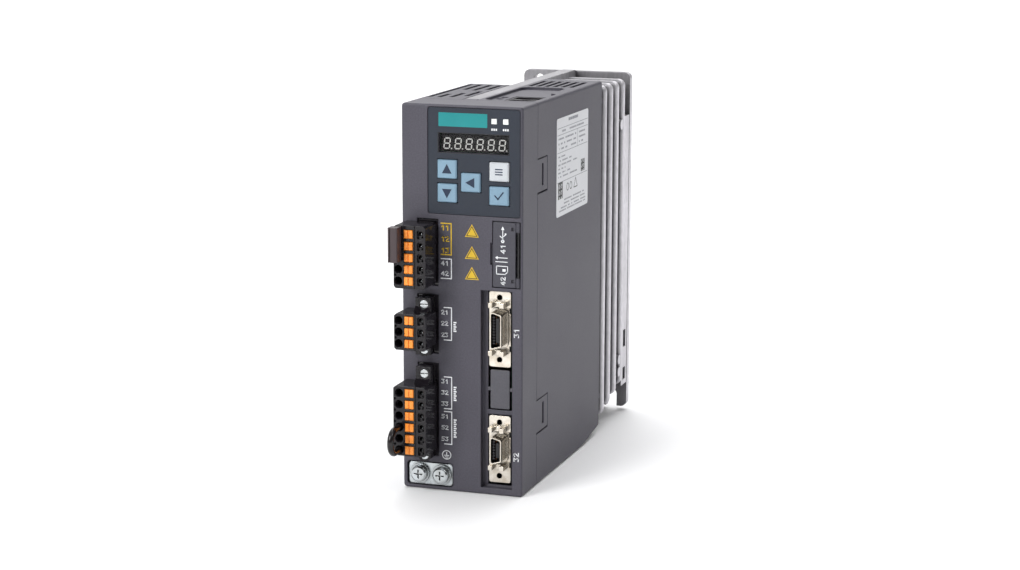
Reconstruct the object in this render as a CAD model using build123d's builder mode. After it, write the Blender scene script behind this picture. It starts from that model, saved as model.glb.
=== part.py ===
from build123d import *
import os

# Slim servo drive for cabinet mounting: plastic housing on a die-cast heatsink,
# three pluggable spring-cage terminals, two ribbon connectors, a membrane
# operator panel and a hinged service flap.
#
# Row frame: millimetres, +Z up, +Y towards the cabinet wall, +X to the right
# of someone facing the drive. Origin: middle of the rear mounting face.
# Helper coordinates: x as in the row frame, y = depth behind the front face,
# z = height above the underside.

# ---------------------------------------------------------------- dimensions
W = 55.0            # housing width
H = 170.0           # housing height
D = 170.0           # front face to mounting face
WALL = 2.0          # housing wall
FRONT_WALL = 2.4    # front wall
COVER_D = 20.0      # depth of the front cover
BAY_DEPTH = 1.2     # how far the network bay is lowered
SEAM = 0.3          # gap between mating shells
LEFT_D = 85.0       # depth at which the left shell ends
RIGHT_D = 117.0     # depth at which the right shell ends
HX = W / 2

SINK_X0, SINK_X1 = -7.0, -0.5      # heatsink base wall
SINK_Y0 = 24.0
FLANGE_T = 4.0                     # mounting flange
FLANGE_Z0, FLANGE_Z1 = 1.7, 169.4
FIN_T = 4.4
FIN_EDGE = 1.6                     # rounding of the fins' edges
FINS = [(122.8, 7.3), (133.2, 9.9), (143.6, 12.6), (154.0, 15.3)]  # depth, foot
FIN_TOP = 167.2
FIX_X, FIX_Z, FIX_R = -19.0, 164.6, 2.75   # upper fixing hole
SLOT_X, SLOT_W, SLOT_TOP = 19.7, 5.5, 10.5  # lower fixing slot

PITCH = 5.08
POLES_24V = [115.6 - PITCH * i for i in range(5)]
POLES_MAINS = [78.05 - PITCH * i for i in range(3)]
POLES_MOTOR = [46.05 - PITCH * i for i in range(6)]
LEVER_X0, LEVER_X1 = -20.9, -17.0
LEVER_H = 3.5
LEVER_TRAVEL = 1.2
LEVER_OUT = 0.5                    # how far the levers stand out
PLUG_FRONT = -14.5                 # front of the plugs ahead of the front face
FUNNEL_X = -23.7                   # wire entries
ENTRY_R = 1.5                      # bore of the wire entries
SCREW_X = -15.1                    # line of the plug screws
CORNER_R = 1.4                     # outline corners of the housing
TEST_X = -13.9                     # test holes

KEY_TRAVEL = 0.6
KEYS = {"key_up": (-10.9, -2.2, 138.3, 146.3),
        "key_down": (-10.9, -2.2, 128.0, 136.0),
        "key_left": (-0.2, 8.5, 132.9, 141.0),
        "key_menu": (12.6, 21.3, 138.1, 146.2),
        "key_ok": (12.6, 21.3, 127.8, 135.8)}

HINGE_X, HINGE_Y = 25.4, 0.95      # service flap hinge axis
ARMS = [(33.4, 130.9, 145.2), (35.5, 23.9, 38.3)]   # snap arms: end, foot, top
LINK_R = 1.4                       # insulated link wire

CH_X0, CH_X1, CH_Z0, CH_Z1 = 8.6, 22.9, 2.9, 90.6   # connector channel
CH_DEPTH = 3.3
PLATE_Y = 2.6                      # front of the connector plates

os.makedirs("parts", exist_ok=True)


# ------------------------------------------------------------------- helpers
def FR(y):
    return Plane(origin=(0, y - D, -H / 2), x_dir=(1, 0, 0), z_dir=(0, -1, 0))


def SD(x):
    return Plane(origin=(x, -D, -H / 2), x_dir=(0, 1, 0), z_dir=(1, 0, 0))


def TP(z):
    return Plane(origin=(0, -D, z - H / 2), x_dir=(1, 0, 0), z_dir=(0, 0, 1))


def block(x0, x1, y0, y1, z0, z1, mode=Mode.ADD):
    with Locations(((x0 + x1) / 2, (y0 + y1) / 2 - D, (z0 + z1) / 2 - H / 2)):
        Box(x1 - x0, y1 - y0, z1 - z0, mode=mode)


def rod_y(x, z, r, y0, y1, mode=Mode.ADD):
    with Locations(Location((x, (y0 + y1) / 2 - D, z - H / 2), (90, 0, 0))):
        Cylinder(r, y1 - y0, mode=mode)


def rod_z(x, y, r, z0, z1, mode=Mode.ADD):
    with Locations((x, y - D, (z0 + z1) / 2 - H / 2)):
        Cylinder(r, z1 - z0, mode=mode)


def rod_x(y, z, r, x0, x1, mode=Mode.ADD):
    with Locations(Location(((x0 + x1) / 2, y - D, z - H / 2), (0, 90, 0))):
        Cylinder(r, x1 - x0, mode=mode)


def slab(x0, x1, y0, y1, z0, z1, r, mode=Mode.ADD):
    """Plate parallel to the front with rounded corners."""
    with BuildSketch(FR(y0), mode=Mode.PRIVATE) as s:
        with Locations(((x0 + x1) / 2, (z0 + z1) / 2)):
            RectangleRounded(x1 - x0, z1 - z0, r)
    extrude(s.sketch, amount=-(y1 - y0), mode=mode)


def outline(plane, pts, amount, mode=Mode.ADD):
    """Closed straight-sided profile on a plane, extruded."""
    with BuildSketch(plane, mode=Mode.PRIVATE) as s:
        with BuildLine():
            Polyline(*pts, close=True)
        make_face()
    extrude(s.sketch, amount=amount, mode=mode)


def save(part, name):
    part.part.label = name
    export_step(part.part, f"parts/{name}.step")


# --------------------------------------------------------------- front cover
with BuildPart() as front_cover:
    block(-HX, HX, 0, COVER_D, 0, H)
    fillet(front_cover.edges().filter_by(Axis.Y), CORNER_R)
    fillet(front_cover.faces().sort_by(Axis.Y)[0].edges(), 0.9)
    block(-HX + WALL, HX - WALL, FRONT_WALL, COVER_D + 1, WALL, H - WALL, Mode.SUBTRACT)
    # lip that closes the top over the heatsink wall
    block(-6.9, -0.6, 18, SINK_Y0 - 0.1, H - WALL, H)
    block(-6.9, -0.6, 18, SINK_Y0 - 0.1, 0, WALL)
    # snap arms, two each side
    for side in (-1, 1):
        for (y1, z0, z1) in ARMS:
            xa, xb = sorted((side * 25.9, side * HX))
            xs, xt = sorted((side * 25.0, side * 28.0))
            block(xa, xb, 17, y1, z0, z1)
            block(xs, xt, y1 - 7.4, y1 - 5.0, z0 + 2.4, z1 - 2.2, Mode.SUBTRACT)
    # operator panel pocket, with its display, key and lamp openings
    slab(-15.6, 26.4, -0.1, 0.7, 122.6, 168.9, 1.2, Mode.SUBTRACT)
    block(-10.6, 21.0, 0, 3, 149.5, 157.7, Mode.SUBTRACT)
    for (kx0, kx1, kz0, kz1) in KEYS.values():
        block(kx0 - 0.35, kx1 + 0.35, 0, 3, kz0 - 0.35, kz1 + 0.35, Mode.SUBTRACT)
    for lx in (14.5, 19.7):
        block(lx - 1.3, lx + 1.3, 0, 3, 162.3, 164.7, Mode.SUBTRACT)
    for bx in (-13.4, 23.9):
        for bz in (125.6, 166.0):
            rod_y(bx, bz, 1.2, FRONT_WALL - 0.2, 9.2)
    # terminal openings
    for (z0, z1) in ((91.2, 120.5), (61.2, 87.4), (15.3, 57.0)):
        block(-20.5, -10.7, -1, 3, z0, z1, Mode.SUBTRACT)
    # earth window
    slab(-25.7, -4.2, -1, 3, 1.4, 12.3, 1.8, Mode.SUBTRACT)
    # service flap pocket, bay, finger notch and hinge slot
    block(13.8, 25.0, -1, 1.8, 92.0, 121.0, Mode.SUBTRACT)
    block(15.2, 24.0, 0, 3, 93.8, 119.2, Mode.SUBTRACT)
    block(12.9, 14.2, -1, 1.2, 101.9, 111.5, Mode.SUBTRACT)
    block(24.1, 26.6, -1, 2.9, 92.0, 121.0, Mode.SUBTRACT)
    rod_z(HINGE_X, HINGE_Y, 0.6, 90.6, 122.4, Mode.SUBTRACT)
    # connector channel with its floor, and the openings in the floor
    block(CH_X0 - 1.2, CH_X1 + 1.2, FRONT_WALL - 0.4, CH_DEPTH + 1.2, 1.9, CH_Z1 + 1.2)
    block(CH_X0, CH_X1, -1, CH_DEPTH, CH_Z0, CH_Z1, Mode.SUBTRACT)
    block(10.9, CH_X1, 0, 6, 37.4, CH_Z1, Mode.SUBTRACT)
    block(10.9, CH_X1, 0, 6, 3.7, 35.4, Mode.SUBTRACT)
save(front_cover, "front_cover")

# --------------------------------------------------------------- right shell
side_profile = [(COVER_D + SEAM, 0), (85.8, 0), (115.9, 4.4), (RIGHT_D, 5.2),
                (RIGHT_D, H), (COVER_D + SEAM, H)]
inner_profile = [(COVER_D, WALL), (85.5, WALL), (RIGHT_D - WALL, 6.3),
                 (RIGHT_D - WALL, H - WALL), (COVER_D, H - WALL)]
with BuildPart() as right_shell:
    outline(SD(-0.3), side_profile, HX + 0.3)
    edges = right_shell.edges().filter_by(Axis.Y).group_by(Axis.X)[-1]
    fillet(edges, CORNER_R)
    outline(SD(-0.4), inner_profile, HX - WALL + 0.4, Mode.SUBTRACT)
    # lowered network bay in the top, with rounded corners
    with BuildSketch(TP(H - BAY_DEPTH), mode=Mode.PRIVATE) as bay:
        with Locations((11.6, 51.5)):
            RectangleRounded(20.8, 57.0, 5.0)
        with Locations((16.4, 39.5)):
            RectangleRounded(17.2, 33.0, 3.0)
    extrude(bay.sketch, amount=BAY_DEPTH + 1, mode=Mode.SUBTRACT)
    block(7.6, 22.5, 29.3, 50.3, H - 4, H, Mode.SUBTRACT)
    block(2.6, 5.6, 36.4, 40.4, H - 4, H, Mode.SUBTRACT)
    block(2.6, 5.6, 43.0, 47.0, H - 4, H, Mode.SUBTRACT)
    # rear vents, top and underside
    for i in range(6):
        sx = 2.9 + 3.9 * i
        block(sx - 1.1, sx + 1.1, 83.5, 108.0, H - 3, H + 1, Mode.SUBTRACT)
        block(sx - 1.1, sx + 1.1, 32.0, 60.0, -1, 3, Mode.SUBTRACT)
    # notches for the cover's snap arms, each with its catch
    for (y1, z0, z1) in ARMS:
        block(HX - WALL - 0.1, HX + 1, COVER_D, y1 + 0.65, z0 - 0.8, z1 + 0.5, Mode.SUBTRACT)
        block(24.3, 25.5, y1 - 9.0, y1 + 1.8, z0 - 1.6, z1 + 1.4)
        block(24.6, 26.3, y1 - 6.6, y1 - 5.3, z0 + 3.1, z1 - 2.9)
    # bosses that stand the shell off the first fin
    for bz in (160.0, 17.0):
        rod_y(23.2, bz, 3.0, RIGHT_D - 1, FINS[0][0])
        rod_y(23.2, bz, 1.45, RIGHT_D - 3, 126.0, Mode.SUBTRACT)
save(right_shell, "right_shell")

# ---------------------------------------------------------------- left shell
with BuildPart() as left_shell:
    block(-HX, -7.3, COVER_D + SEAM, LEFT_D, 0, H)
    edges = left_shell.edges().filter_by(Axis.Y).group_by(Axis.X)[0]
    fillet(edges, CORNER_R)
    block(-HX + WALL, -7.2, COVER_D, LEFT_D - WALL, WALL, H - WALL, Mode.SUBTRACT)
    # long vents in the top, and the same in the underside
    for (za, zb) in ((H - 3, H + 1), (-1, 3)):
        block(-25.4, -23.5, 26, 81, za, zb, Mode.SUBTRACT)
        for sx, runs in ((-20.0, ((26, 40), (59, 81.5))), (-15.0, ((28, 45), (57, 81.5))),
                         (-10.3, ((34, 54), (62, 81.5)))):
            for (ya, yb) in runs:
                block(sx - 1.1, sx + 1.1, ya, yb, za, zb, Mode.SUBTRACT)
    for (y1, z0, z1) in ARMS:
        block(-HX - 1, -HX + WALL + 0.1, COVER_D, y1 + 0.65, z0 - 0.8, z1 + 0.5, Mode.SUBTRACT)
        block(-25.5, -24.3, y1 - 9.0, y1 + 1.8, z0 - 1.6, z1 + 1.4)
        block(-26.3, -24.6, y1 - 6.6, y1 - 5.3, z0 + 3.1, z1 - 2.9)
save(left_shell, "left_shell")

# ------------------------------------------------------------------ heatsink
with BuildPart() as heatsink:
    block(SINK_X0, SINK_X1, SINK_Y0, D - FLANGE_T + 0.5, 0.5, H - 0.1)
    for (fy, fz) in FINS:
        with BuildPart(mode=Mode.PRIVATE) as fin:
            with BuildSketch(FR(fy)):
                with BuildLine():
                    FilletPolyline((-2.0, fz), (HX, fz), (HX, FIN_TOP), (-2.0, FIN_TOP),
                                   radius=3.2)
                    Line((-2.0, FIN_TOP), (-2.0, fz))
                make_face()
            extrude(amount=-FIN_T)
            faces = fin.faces().sort_by(Axis.Y)
            rim = [e for f in (faces[0], faces[-1]) for e in f.edges() if e.center().X > -1.9]
            fillet(rim, FIN_EDGE)
        add(fin.part)
    # rib that joins the last fin to the flange, with its two cored slots
    block(25.0, 27.3, 156.4, D - FLANGE_T + 0.5, 14.4, 149.0)
    for (z0, z1) in ((33.5, 42.1), (16.9, 23.0)):
        block(24.0, 28.0, 159.4, 163.4, z0, z1, Mode.SUBTRACT)
    # ejector bosses on the last fin
    for (bz, br) in ((145.4, 2.5), (28.6, 2.4), (22.4, 2.4)):
        rod_x(152.6, bz, br, 22.0, 27.4)
    with BuildSketch(FR(D - FLANGE_T)):
        with Locations((0.2, (FLANGE_Z0 + FLANGE_Z1) / 2)):
            RectangleRounded(54.6, FLANGE_Z1 - FLANGE_Z0, 3.0)
        with Locations((FIX_X, FIX_Z)):
            Circle(FIX_R, mode=Mode.SUBTRACT)
        with Locations((SLOT_X, SLOT_TOP - SLOT_W / 2)):
            Circle(SLOT_W / 2, mode=Mode.SUBTRACT)
        with Locations((SLOT_X, SLOT_TOP / 2 - SLOT_W / 4)):
            Rectangle(SLOT_W, SLOT_TOP - SLOT_W / 2, mode=Mode.SUBTRACT)
    extrude(amount=-FLANGE_T)
    for bz in (160.0, 17.0):
        rod_y(23.2, bz, 1.7, FINS[0][0] - 0.5, 128.0, Mode.SUBTRACT)
save(heatsink, "heatsink")

# screws that hold the shell bosses to the first fin
with BuildPart() as housing_screws:
    for bz in (160.0, 17.0):
        rod_y(23.2, bz, 1.4, 118.0, 127.4)
        rod_y(23.2, bz, 2.7, 127.2, 129.4)
        rod_y(23.2, bz, 1.1, 128.4, 130.0, Mode.SUBTRACT)
save(housing_screws, "housing_screws")

# ------------------------------------------------------------ operator panel
with BuildPart() as panel_film:
    slab(-15.3, 26.1, 0.28, 0.68, 122.9, 168.6, 1.0)
    block(-10.6, 21.0, -1, 3, 149.5, 157.7, Mode.SUBTRACT)
    for (kx0, kx1, kz0, kz1) in KEYS.values():
        block(kx0 - 0.35, kx1 + 0.35, -1, 3, kz0 - 0.35, kz1 + 0.35, Mode.SUBTRACT)
    for lx in (14.5, 19.7):
        block(lx - 1.3, lx + 1.3, -1, 3, 162.3, 164.7, Mode.SUBTRACT)
save(panel_film, "panel_film")

with BuildPart() as display_window:
    slab(-10.5, 20.9, 0.2, 1.9, 149.6, 157.6, 0.4)
save(display_window, "display_window")

with BuildPart() as display_module:
    block(-10.3, 20.7, 2.6, 9.2, 149.8, 157.4)
save(display_module, "display_module")

with BuildPart() as led_light_pipes:
    for lx in (14.5, 19.7):
        block(lx - 1.15, lx + 1.15, 0.1, 9.2, 162.4, 164.6)
save(led_light_pipes, "led_light_pipes")

with BuildPart() as panel_board:
    block(-15.0, 25.2, 9.2, 10.8, 124.0, 167.4)
save(panel_board, "panel_board")

# tact switches behind the keys
with BuildPart() as key_switches:
    for (kx0, kx1, kz0, kz1) in KEYS.values():
        kx, kz = (kx0 + kx1) / 2, (kz0 + kz1) / 2
        block(kx - 2.6, kx + 2.6, 7.4, 9.2, kz - 2.6, kz + 2.6)
        rod_y(kx, kz, 1.2, 6.9, 7.5)
save(key_switches, "key_switches")

# keys: bevelled cap, retaining rim and stem
for key_name, (kx0, kx1, kz0, kz1) in KEYS.items():
    kx, kz = (kx0 + kx1) / 2, (kz0 + kz1) / 2
    with BuildPart() as key:
        slab(kx0, kx1, -0.7, 3.0, kz0, kz1, 0.5)
        chamfer(key.faces().sort_by(Axis.Y)[0].edges(), 0.45)
        block(kx0 - 0.7, kx1 + 0.7, 3.0, 3.9, kz0 - 0.7, kz1 + 0.7)
        rod_y(kx, kz, 1.6, 3.8, 6.2)
    save(key, key_name)

# -------------------------------------------------------------- service flap
with BuildPart() as service_flap:
    slab(14.1, 24.2, 0.1, 1.55, 92.4, 120.6, 0.5)
    block(22.5, 24.2, 0.1, 1.55, 92.4, 120.6)
    for (z0, z1) in ((92.4, 96.6), (116.4, 120.6)):
        block(23.8, HINGE_X, 0.35, 1.55, z0, z1)
        rod_z(HINGE_X, HINGE_Y, 0.92, z0, z1)
    rod_z(HINGE_X, HINGE_Y, 0.66, 92, 121, Mode.SUBTRACT)
    for z0 in (94.4, 117.0):
        block(22.4, 23.7, -1, 0.9, z0, z0 + 1.5, Mode.SUBTRACT)
save(service_flap, "service_flap")

with BuildPart() as flap_hinge_pin:
    rod_z(HINGE_X, HINGE_Y, 0.6, 90.6, 122.4)
save(flap_hinge_pin, "flap_hinge_pin")

with BuildPart() as service_socket:
    block(18.2, 22.6, 3.0, 13.0, 106.0, 114.0)
    block(19.0, 21.8, 2.0, 9.0, 106.9, 113.1, Mode.SUBTRACT)
    block(20.0, 20.8, 4.0, 9.5, 107.9, 112.1)
save(service_socket, "service_socket")

with BuildPart() as card_slot:
    block(19.8, 22.6, 3.0, 17.0, 94.4, 104.8)
    block(20.5, 21.8, 2.0, 15.0, 95.2, 104.0, Mode.SUBTRACT)
save(card_slot, "card_slot")


# --------------------------------------------------------- ribbon connectors
def d_shape(y0, y1, z0, z1, inset, mode=Mode.ADD):
    """Rounded D outline: long side on the left, slanted ends, short side on the right."""
    x0, x1 = 14.3 + inset, 19.4 - inset
    a, b, c = z0 + inset, z1 - inset, 1.3
    with BuildSketch(FR(y0), mode=Mode.PRIVATE) as s:
        with BuildLine():
            Polyline((x0, a), (x1, a + c), (x1, b - c), (x0, b), close=True)
        make_face()
        fillet(s.vertices(), 0.8 if inset >= 0 else 1.4)
    extrude(s.sketch, amount=-(y1 - y0), mode=mode)


def connector(name, plate_z0, plate_z1, shell_z0, shell_z1, hole_zs, hole_x):
    with BuildPart() as shell:
        slab(11.6, 21.4, PLATE_Y, PLATE_Y + 1.0, plate_z0, plate_z1, 1.0)
        # notched edges of the stamped plate
        for (z0, z1) in ((plate_z0 + 7.0, plate_z0 + 9.4), (plate_z1 - 9.4, plate_z1 - 7.0)):
            block(20.8, 22.0, 0, 5, z0, z1, Mode.SUBTRACT)
        # bead at the foot of the shroud, and the shroud
        d_shape(PLATE_Y - 0.9, PLATE_Y + 0.1, shell_z0, shell_z1, -0.9)
        d_shape(-4.5, PLATE_Y + 0.1, shell_z0, shell_z1, 0.0)
        # latch ears above and below the shroud
        for (z0, z1) in ((shell_z0 - 3.3, shell_z0 - 1.2), (shell_z1 + 1.2, shell_z1 + 3.3)):
            block(12.6, 14.3, -2.0, PLATE_Y + 0.1, z0, z1)
            block(17.6, 19.6, -2.0, PLATE_Y + 0.1, z0, z1)
            block(12.6, 19.6, 1.1, PLATE_Y + 0.1, z0, z1)
        d_shape(-6.0, PLATE_Y + 2.0, shell_z0, shell_z1, 0.45, Mode.SUBTRACT)
        for hz in hole_zs:
            rod_y(hole_x, hz, 1.25, 0, 5, Mode.SUBTRACT)
    save(shell, name + "_shell")
    with BuildPart() as insert:
        block(11.1, 22.4, PLATE_Y + 1.0, 14.0, plate_z0 + 0.2, plate_z1 - 0.2)
        d_shape(0.4, PLATE_Y + 1.1, shell_z0, shell_z1, 0.5)
        block(16.7, 18.2, -3.4, 0.5, shell_z0 + 3.0, shell_z1 - 3.0)
        for hz in hole_zs:
            rod_y(hole_x, hz, 1.6, 3, 12, Mode.SUBTRACT)
    save(insert, name + "_insert")


connector("io_connector", 56.8, 90.0, 65.7, 82.3, (87.4, 60.0), 16.3)
connector("encoder_connector", 5.1, 35.0, 14.8, 27.2, (32.1, 8.1), 16.3)

with BuildPart() as blanking_cover:
    slab(12.2, 20.9, PLATE_Y, PLATE_Y + 1.2, 38.2, 55.3, 0.5)
    block(11.0, 12.4, PLATE_Y + 0.2, PLATE_Y + 0.9, 46.0, 47.6)
    block(20.7, 22.8, PLATE_Y + 0.2, PLATE_Y + 0.9, 46.0, 47.6)
    block(14.2, 19.0, PLATE_Y + 1.1, 7.0, 40.0, 41.4)
    block(14.2, 19.0, PLATE_Y + 1.1, 7.0, 52.2, 53.6)
save(blanking_cover, "blanking_cover")


# ------------------------------------------------- terminal headers and plugs
def header(name, z0, z1, cav0, cav1, poles, screw_zs):
    with BuildPart() as part:
        block(-20.3, -10.9, 0.8, 22.0, z0, z1)
        block(-19.4, -11.8, -1, 12.6, cav0, cav1, Mode.SUBTRACT)
        for pz in poles:
            block(-16.1, -15.1, 5.0, 13.0, pz - 0.5, pz + 0.5)
            block(-16.2, -14.0, 21.8, 27.0, pz - 0.6, pz + 0.6)
        for sz in screw_zs:
            rod_y(SCREW_X, sz, 1.5, 0, 11.0, Mode.SUBTRACT)
    save(part, name)


def plug_body(part, z0, z1, x0, tong0, tong1, poles, ears, sloped):
    # front block ahead of the drive's face
    block(x0, -11.3, PLUG_FRONT, -0.6, z0, z1)
    chamfer(part.edges().filter_by(Axis.Y), 0.9)
    if sloped:
        # raised back half above the first pole
        outline(SD(-19.0), [(-9.0, z1 - 1), (-9.0, z1), (-6.0, z1 + 2.6), (-0.6, z1 + 2.6),
                            (-0.6, z1 - 1)], 6.4)
    # tongue that enters the header
    block(-19.0, -12.2, -1.0, 11.6, tong0, tong1)
    for pz in poles:
        # contact passage, lever pocket, wire funnel and test hole
        block(-16.5, -14.7, 3.5, 12, pz - 0.9, pz + 0.9, Mode.SUBTRACT)
        block(LEVER_X0 - 0.25, LEVER_X1 + 0.25, PLUG_FRONT - 1, -8.0,
              pz - LEVER_H / 2 - 0.25, pz + LEVER_H / 2 + 0.25, Mode.SUBTRACT)
        rod_y(FUNNEL_X, pz, ENTRY_R, PLUG_FRONT - 1, -3.0, Mode.SUBTRACT)
        with Locations(Location((FUNNEL_X, PLUG_FRONT + 0.7 - D, pz - H / 2), (90, 0, 0))):
            Cone(ENTRY_R, 1.92, 1.6, mode=Mode.SUBTRACT)
        slab(-15.1, -12.2, PLUG_FRONT - 1, PLUG_FRONT + 1.3, pz - 1.95, pz + 1.95, 0.9,
             Mode.SUBTRACT)
        rod_y(TEST_X, pz + 0.3, 0.95, PLUG_FRONT - 1, -6.0, Mode.SUBTRACT)
        rod_y(-12.95, pz - 1.2, 0.5, PLUG_FRONT - 1, -11.5, Mode.SUBTRACT)
    # coding notches between the wire entries, and a groove beside the levers
    for pz in poles[:-1]:
        rod_y(x0 + 0.75, pz - PITCH / 2, 0.5, PLUG_FRONT - 1, PLUG_FRONT + 1.2, Mode.SUBTRACT)
    block(-16.25, -15.95, PLUG_FRONT - 1, PLUG_FRONT + 0.35, z0 - 1, z1 + 1, Mode.SUBTRACT)
    for (ez, e0, e1) in ears:
        block(-19.0, -12.1, -6.4, -0.6, e0, e1)
        rod_y(SCREW_X, ez, 2.9, -6.6, -0.6)
        rod_y(SCREW_X, ez, 2.0, -8, -4.6, Mode.SUBTRACT)
        rod_y(SCREW_X, ez, 1.6, -8, 1, Mode.SUBTRACT)


def plug_screws(name, zs):
    with BuildPart() as part:
        for sz in zs:
            rod_y(SCREW_X, sz, 1.85, -6.4, -4.6)
            rod_y(SCREW_X, sz, 1.3, -4.8, 8.0)
            block(SCREW_X - 2.2, SCREW_X + 2.2, -8.0, -5.7, sz - 0.3, sz + 0.3, Mode.SUBTRACT)
    save(part, name)


def levers(prefix, poles):
    for i, pz in enumerate(poles, 1):
        with BuildPart() as lever:
            block(LEVER_X0, LEVER_X1, PLUG_FRONT - LEVER_OUT, -9.6,
                  pz - LEVER_H / 2, pz + LEVER_H / 2)
            chamfer(lever.faces().sort_by(Axis.Y)[0].edges(), 0.3)
            # screwdriver groove
            block(-19.1, -18.8, PLUG_FRONT - 2, PLUG_FRONT + 0.1,
                  pz - LEVER_H, pz + LEVER_H, Mode.SUBTRACT)
        save(lever, f"{prefix}_{i}")


header("header_24v", 91.5, 120.2, 92.4, 119.3, POLES_24V, ())
with BuildPart() as plug_24v:
    plug_body(plug_24v, 92.0, 119.3, -25.8, 92.8, 118.9, POLES_24V, (), False)
save(plug_24v, "plug_24v")
levers("lever_24v", POLES_24V)

header("header_mains", 61.5, 87.1, 66.0, 80.1, POLES_MAINS, (84.0, 64.0))
with BuildPart() as plug_mains:
    plug_body(plug_mains, 65.0, 80.9, -25.8, 66.4, 79.7, POLES_MAINS,
              ((84.0, 80.0, 86.8), (64.0, 61.8, 66.0)), True)
save(plug_mains, "plug_mains")
plug_screws("plug_mains_screws", (84.0, 64.0))
levers("lever_mains", POLES_MAINS)

header("header_motor", 15.6, 56.7, 18.6, 49.6, POLES_MOTOR, (53.4, 16.9))
with BuildPart() as plug_motor:
    plug_body(plug_motor, 18.1, 49.0, -26.4, 19.0, 49.2, POLES_MOTOR,
              ((53.4, 48.0, 56.4), (16.9, 15.7, 19.0)), True)
save(plug_motor, "plug_motor")
plug_screws("plug_motor_screws", (53.4, 16.9))
levers("lever_motor", POLES_MOTOR)

# bridge comb over the first three poles of the 24 V plug
with BuildPart() as jumper_bar:
    block(-26.4, -22.0, -20.0, -14.6, 103.9, 118.9)
    chamfer(jumper_bar.edges().filter_by(Axis.Z), 0.4)
    block(-25.5, -25.15, -21.0, -19.4, 103.0, 119.5, Mode.SUBTRACT)
    for pz in POLES_24V[:3]:
        block(FUNNEL_X - 0.5, FUNNEL_X + 0.5, -15.0, -6.0, pz - 0.5, pz + 0.5)
save(jumper_bar, "jumper_bar")

# insulated wire link from the fourth to the sixth pole of the motor plug
zt, zb = POLES_MOTOR[3], POLES_MOTOR[5]
zm, rl = (zt + zb) / 2, (zt - zb) / 2
with BuildPart() as link_wire:
    with BuildLine(SD(FUNNEL_X)) as route:
        Line((-4.0, zt), (-20.0, zt))
        ThreePointArc((-20.0, zt), (-20.0 - rl, zm), (-20.0, zb))
        Line((-20.0, zb), (-4.0, zb))
    with BuildSketch(Plane(origin=(FUNNEL_X, -4.0 - D, zt - H / 2), x_dir=(1, 0, 0),
                           z_dir=(0, -1, 0))):
        Circle(LINK_R)
    sweep()
save(link_wire, "link_wire")

# --------------------------------------------------------------------- earth
with BuildPart() as ground_plate:
    slab(-25.0, -4.8, 0.8, 2.4, 1.9, 11.6, 1.4)
    block(-6.6, -5.0, 2.2, SINK_Y0, 3.2, 10.6)
    for gx in (-19.7, -9.6):
        rod_y(gx, 6.9, 1.95, 0, 3, Mode.SUBTRACT)
save(ground_plate, "ground_plate")

with BuildPart() as ground_screws:
    for gx in (-19.7, -9.6):
        rod_y(gx, 6.9, 4.3, -0.2, 0.8)
        rod_y(gx, 6.9, 3.5, -2.6, -0.1)
        rod_y(gx, 6.9, 1.9, 0.5, 10.0)
        block(gx - 2.0, gx + 2.0, -3, -1.6, 6.55, 7.25, Mode.SUBTRACT)
        block(gx - 0.35, gx + 0.35, -3, -1.6, 4.9, 8.9, Mode.SUBTRACT)
    chamfer(ground_screws.edges().filter_by(GeomType.CIRCLE).group_by(Axis.Y)[0], 0.6)
save(ground_screws, "ground_screws")

# --------------------------------------------------------------- electronics
with BuildPart() as power_board:
    block(-14.0, -12.4, 24.5, 82.5, 8.0, 162.0)
save(power_board, "power_board")

with BuildPart() as power_module:
    block(-12.4, -7.4, 34.0, 76.0, 62.0, 118.0)
save(power_module, "power_module")

with BuildPart() as thermal_pad:
    block(-7.4, -7.0, 33.0, 77.0, 61.0, 119.0)
save(thermal_pad, "thermal_pad")

with BuildPart() as inrush_relay:
    block(-24.4, -14.0, 38.0, 66.0, 128.0, 142.0)
save(inrush_relay, "inrush_relay")

with BuildPart() as control_board:
    block(22.6, 24.2, 8.0, 76.0, 10.0, 120.0)
    block(22.6, 24.2, 12.0, 76.0, 119.0, 160.0)
save(control_board, "control_board")

with BuildPart() as capacitor_board:
    block(1.2, 21.8, 62.0, 63.6, 12.0, 104.0)
save(capacitor_board, "capacitor_board")

with BuildPart() as dc_link_capacitors:
    for cz in (24.0, 46.0, 68.0, 90.0):
        rod_y(11.4, cz, 9.8, 63.6, 108.0)
        rod_y(11.4, cz, 10.6, 72.0, 73.4, Mode.SUBTRACT)
        rod_y(11.4, cz, 9.2, 71.8, 73.6)
save(dc_link_capacitors, "dc_link_capacitors")

# double network socket facing up through the bay
with BuildPart() as network_sockets:
    block(8.0, 22.1, 29.7, 49.9, 150.0, H - BAY_DEPTH - 0.1)
    block(21.9, 22.6, 30.3, 49.3, 150.0, 160.0)
    for y0 in (30.9, 41.1):
        block(9.1, 21.0, y0, y0 + 7.6, 156.5, H, Mode.SUBTRACT)
        block(12.6, 17.5, y0 - 0.9, y0 + 0.1, 156.5, H, Mode.SUBTRACT)
save(network_sockets, "network_sockets")

with BuildPart() as rating_label:
    with BuildSketch(SD(HX)):
        with Locations(((47.0 + 94.8) / 2, (115.6 + 159.7) / 2)):
            RectangleRounded(47.8, 44.1, 1.4)
    extrude(amount=0.12)
save(rating_label, "rating_label")
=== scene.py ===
import bpy, bmesh, math
from mathutils import Vector, Matrix


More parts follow.
